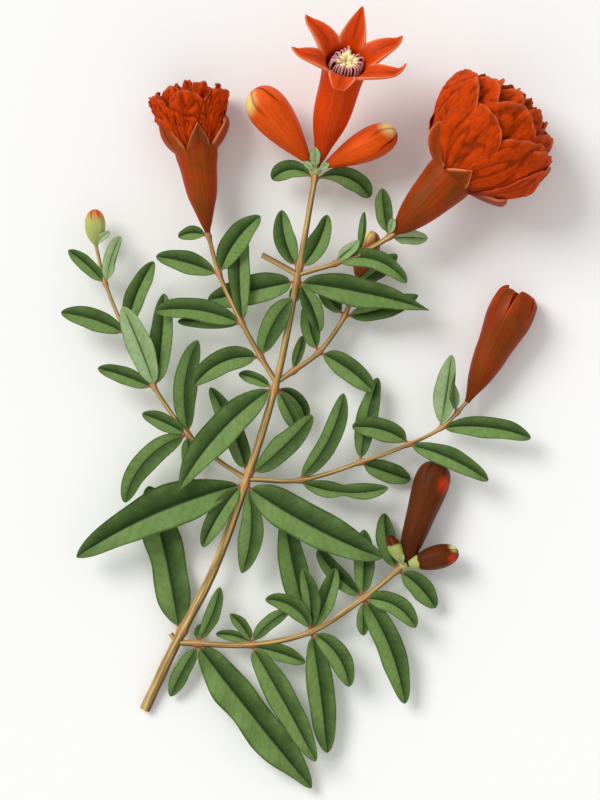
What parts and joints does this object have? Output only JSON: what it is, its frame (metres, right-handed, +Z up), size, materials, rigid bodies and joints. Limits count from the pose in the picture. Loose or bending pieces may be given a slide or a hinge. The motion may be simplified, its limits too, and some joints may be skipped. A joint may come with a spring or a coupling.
{
  "type": "cut flowering pomegranate sprig",
  "caption": "Cut leafy fruit-shrub sprig lying flat: slender stem with side shoots, narrow glossy leaves, a starry tubular flower, full ruffled flowers and club-shaped buds.",
  "frame": {"origin": "bottom centre of the bounding box, on the surface that the sprig lies on", "axes": "+Y runs from the cut end of the main stem to the top flower, +Z is up"},
  "size_m": [0.1714, 0.2711, 0.0515],
  "materials": {
    "bark": "smooth young tan bark, browner on one side",
    "leaf": "satin green leaf with a dark midrib and a paler underside",
    "scarlet_bloom": "waxy orange-red calyx and thin crumpled petals",
    "maroon_bud": "waxy dark brown-red bud",
    "green_bud": "waxy yellow-green young bud with an orange tip"
  },
  "bodies": {
    "root": {"main_stem": "bark", "main_leaves_1": "leaf", "main_leaves_2": "leaf", "main_leaves_3": "leaf", "main_leaves_4": "leaf", "main_leaves_5": "leaf", "main_leaves_6": "leaf", "main_leaves_7": "leaf", "single_flower": "scarlet_bloom", "left_top_bud": "scarlet_bloom", "right_top_bud": "scarlet_bloom", "lower_right_shoot": "bark", "lower_right_leaves_1": "leaf", "lower_right_leaves_2": "leaf", "lower_right_leaves_3": "leaf", "lower_right_leaves_4": "leaf", "lower_right_leaves_5": "leaf", "dark_bud": "maroon_bud", "small_right_bud": "maroon_bud", "small_left_bud": "green_bud", "middle_right_shoot": "bark", "middle_right_leaves_1": "leaf", "middle_right_leaves_2": "leaf", "middle_right_leaves_3": "leaf", "middle_right_leaves_4": "leaf", "middle_right_leaves_5": "leaf", "half_open_flower": "scarlet_bloom", "middle_left_shoot": "bark", "middle_left_leaves_1": "leaf", "middle_left_leaves_2": "leaf", "middle_left_leaves_3": "leaf", "middle_left_leaves_4": "leaf", "green_bud": "green_bud", "upper_left_shoot": "bark", "upper_left_leaves_1": "leaf", "upper_left_leaves_2": "leaf", "upper_left_leaves_3": "leaf", "upper_left_leaves_4": "leaf", "left_double_flower": "scarlet_bloom", "upper_right_shoot": "bark", "upper_right_leaves_1": "leaf", "upper_right_leaves_2": "leaf", "upper_right_leaves_3": "leaf", "upper_right_leaves_4": "leaf", "hidden_bud": "scarlet_bloom", "top_right_shoot": "bark", "top_right_leaves_1": "leaf", "top_right_leaves_2": "leaf", "top_right_leaves_3": "leaf", "right_double_flower": "scarlet_bloom", "cut_stub": "bark"}
  },
  "joints": []
}
